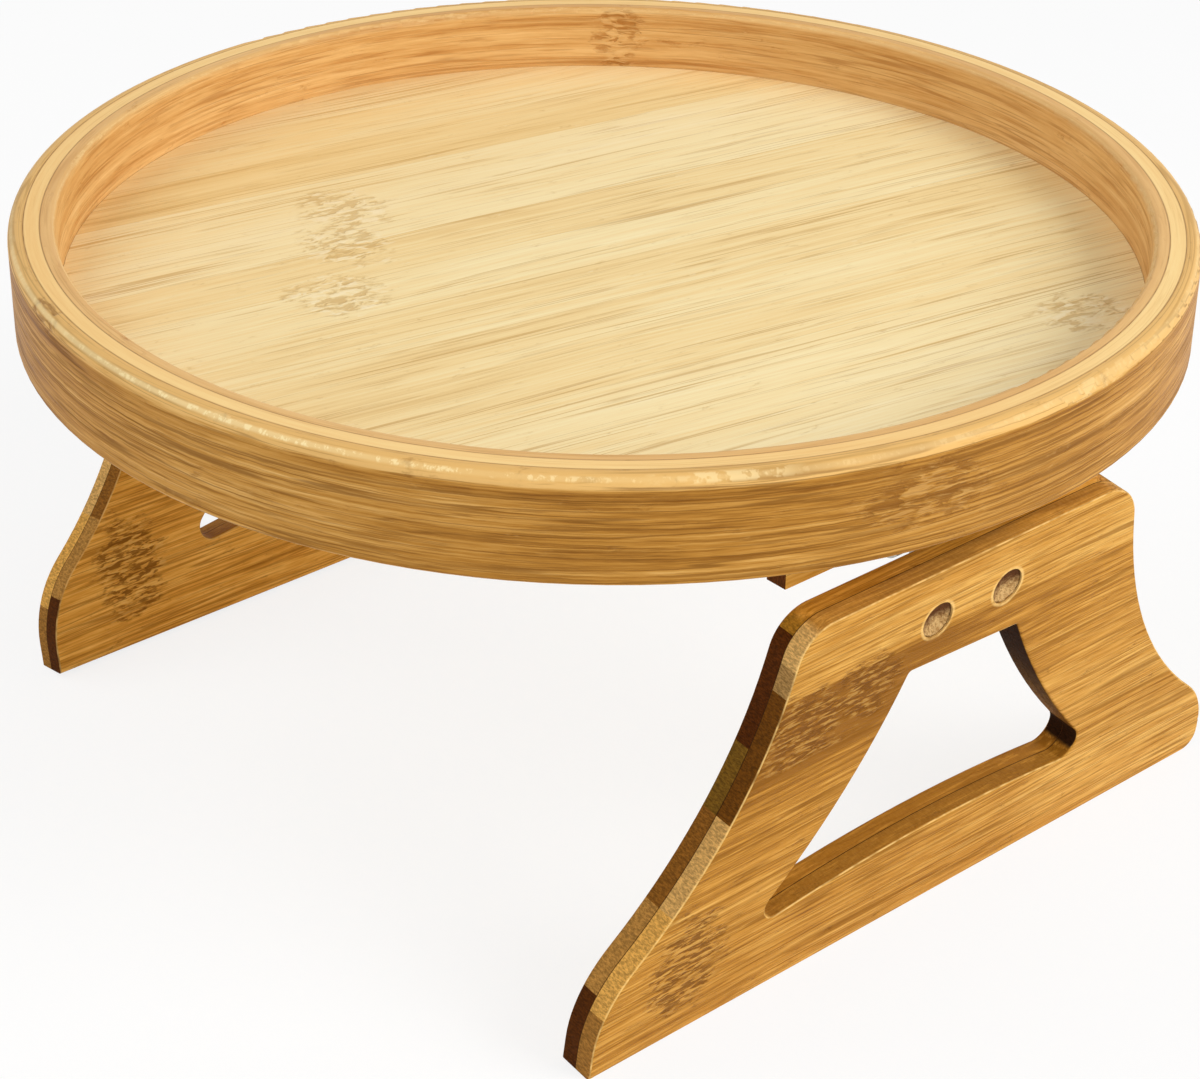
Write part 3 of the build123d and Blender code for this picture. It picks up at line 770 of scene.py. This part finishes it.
def steel(name, bright, dull, brushed, gloss):
    """Plated steel: brushed, dulled in patches and spotted.

    brushed is how many brush lines lie in a millimetre along x, y and z, and gloss the least roughness."""
    patch_level, spot_level, spot_share = (0.35, 0.65), (0.62, 0.72), 0.35
    line_roughness, spot_roughness, relief, relief_strength = 0.2, 0.2, 0.02, 0.5
    shader = material_shader(name)
    place = row_place(shader)
    lines = shader.noise(shader.stretch(shader.split(place), brushed), detail=3.0, roughness=0.6)
    patch = shader.noise(place, 0.25, detail=3.0, roughness=0.6)
    spots = shader.step(shader.noise(place, 1.7), *spot_level)
    colour = shader.mix(shader.step(patch, *patch_level), bright, dull)
    colour = shader.mix(shader.times(spots, spot_share), colour, srgb(96, 90, 82))
    roughness = shader.add(shader.times(lines, line_roughness), shader.times(spots, spot_roughness), gloss)
    normal = shader.bump(lines, relief, relief_strength)
    return shader.finish(colour, roughness, normal, Metallic=1.0)


torn_finish = torn_bamboo()
hinge_steel = steel("hinge_steel", srgb(206, 205, 200), srgb(178, 176, 170), (0.2, 3.0, 3.0), 0.26)
pin_steel = steel("pin_steel", srgb(214, 213, 209), srgb(184, 182, 178), (3.0, 0.6, 0.6), 0.20)
spring_steel = steel("spring_steel", srgb(130, 128, 126), srgb(96, 94, 92), (2.0, 2.0, 2.0), 0.24)
screw_steel = steel("screw_steel", srgb(216, 212, 200), srgb(184, 178, 162), (1.2, 1.2, 1.2), 0.22)

# The near and far pieces of a kind share its finish.
finishes = {
    "tray_floor": floor_bamboo,
    "rim_outer_ply": outer_bamboo,
    "rim_middle_ply": middle_bamboo,
    "rim_inner_ply": inner_bamboo,
    "hinge_rail": rail_bamboo,
    "rail_screws": screw_steel,
    "fixed_leaf": hinge_steel,
    "leaf_screws": screw_steel,
    "hinge_pin": pin_steel,
    "hinge_spring": spring_steel,
    "moving_leaf": hinge_steel,
    "leg_outer_ply": leg_outer_bamboo,
    "leg_inner_ply": leg_inner_bamboo,
    "leg_screws": screw_steel,
    "leg_plugs": torn_finish,
}
for name, node in nodes.items():
    kind = name.removeprefix("near_").removeprefix("far_")
    node.data.materials.clear()
    node.data.materials.append(finishes[kind])


def link(piece):
    bpy.context.scene.collection.objects.link(piece)
    return piece


def pocket_bottom(build, centre_x, mirror):
    """One plug, dished and torn on its outer side and flat on its base."""
    centre = hole_centre + Vector((centre_x, 0, 0))

    def corner(u, v, depth):
        place = centre + Vector((u, 0, 0)) + leg_up * v - leg_normal * depth
        return build.verts.new(Vector((place.x, mirror * place.y, place.z)) * MM)

    angles = [2 * pi * turn / plug_turns for turn in range(plug_turns)]
    loops = []
    for ring in range(1, plug_rings + 1):
        radius = plug_radius * ring / plug_rings
        rise = (torn_middle_depth - torn_rim_depth) * (ring / plug_rings) ** 2
        loop = []
        for angle in angles:
            u, v = radius * cos(angle), radius * sin(angle)
            tear = noise.fractal(Vector((u + centre_x, v, 0.0)) * tears_per_mm, 1.0, 2.0, 3)
            loop.append(corner(u, v, torn_middle_depth - rise - tear_depth * tear))
        loops.append(loop)
    base = [corner(plug_radius * cos(angle), plug_radius * sin(angle), plug_base_depth) for angle in angles]
    loops.append(base)
    middle = corner(0, 0, torn_middle_depth)
    for turn in range(plug_turns):
        after = (turn + 1) % plug_turns
        build.faces.new((middle, loops[0][turn], loops[0][after]))
        for inner, outer in zip(loops, loops[1:]):
            build.faces.new((inner[turn], outer[turn], outer[after], inner[after]))
    build.faces.new(list(reversed(base)))


def pocket_bottoms(side, mirror):
    """The two plugs of one leg, as the pockets show them."""
    mesh = bpy.data.meshes.new(f"{side}_pocket_bottoms")
    build = bmesh.new()
    for centre_x in (-plug_spacing / 2, plug_spacing / 2):
        pocket_bottom(build, centre_x, mirror)
    bmesh.ops.recalc_face_normals(build, faces=build.faces)
    build.to_mesh(mesh)
    build.free()
    for face in mesh.polygons:
        face.use_smooth = True
    mesh.materials.append(torn_finish)
    piece = link(bpy.data.objects.new(f"{side}_pocket_bottoms", mesh))
    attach(piece, f"{side}_leg")
    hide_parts(f"{side}_leg_plugs")


pocket_bottoms("near", 1)
pocket_bottoms("far", -1)


def floor_finish():
    """Pale floor that shows nearly white to the camera and keeps a faint shadow."""
    shader = material_shader("stage_floor")
    grain = shader.noise(row_place(shader), 0.02)
    surface = shader.node("ShaderNodeBsdfDiffuse")
    shader.put(shader.mix(grain, srgb(250, 250, 250), srgb(255, 255, 255)), surface.inputs["Color"])
    glow = shader.node("ShaderNodeEmission")
    glow.inputs["Strength"].default_value = 1.0
    share = shader.times(shader.backdrop_rays(), stage_glow)
    mixed = shader.mix_shaders(share, surface.outputs[0], glow.outputs[0])
    return shader.end(mixed, "ShaderNodeOutputMaterial")


def make_stage():
    mesh = bpy.data.meshes.new("stage_floor")
    corners = [(-stage_reach, -stage_reach, 0), (stage_reach, -stage_reach, 0),
               (stage_reach, stage_reach, 0), (-stage_reach, stage_reach, 0)]
    mesh.from_pydata(corners, [], [(0, 1, 2, 3)])
    mesh.materials.append(floor_finish())
    link(bpy.data.objects.new("stage_floor", mesh))


def make_world():
    """White all round: dimmed as a light, and at full strength where the background shows."""
    shader = Shader(bpy.data.worlds.new("studio"))
    skies = []
    for strength in (ambient_strength, 1.0):
        sky = shader.node("ShaderNodeBackground")
        sky.inputs["Color"].default_value = (1, 1, 1, 1)
        sky.inputs["Strength"].default_value = strength
        skies.append(sky.outputs[0])
    mixed = shader.mix_shaders(shader.backdrop_rays(), *skies)
    bpy.context.scene.world = shader.end(mixed, "ShaderNodeOutputWorld")


def make_lamp(name, place, target, power, size):
    light = bpy.data.lights.new(name, "AREA")
    light.energy = power
    light.size = size
    lamp = link(bpy.data.objects.new(name, light))
    lamp.location = place
    lamp.rotation_euler = (Vector(target) - Vector(place)).to_track_quat("-Z", "Y").to_euler()


def make_camera():
    """The camera looks level along its heading, and is then pitched down and rolled."""
    heading, pitch, roll = radians(camera_heading), radians(camera_pitch), radians(camera_roll)
    forward = Vector((sin(heading) * cos(pitch), cos(heading) * cos(pitch), -sin(pitch)))
    level = Vector((cos(heading), -sin(heading), 0))
    upright = level.cross(forward)
    right = level * cos(roll) + upright * sin(roll)
    up = upright * cos(roll) - level * sin(roll)
    spin = Matrix((right, up, -forward)).transposed()
    camera = link(bpy.data.objects.new("camera", bpy.data.cameras.new("camera")))
    camera.data.lens = camera_lens
    camera.data.sensor_width = camera_sensor
    flat = Vector((-sin(heading), -cos(heading), 0)) * camera_distance
    camera.location = (flat + Vector((0, 0, camera_height + tray_base))) * MM
    camera.rotation_euler = spin.to_euler()
    bpy.context.scene.camera = camera


make_stage()
make_world()
for name, (place, target, power, size) in lamps.items():
    make_lamp(name, place, target, power, size)
make_camera()
bpy.context.scene.view_settings.view_transform = "Standard"
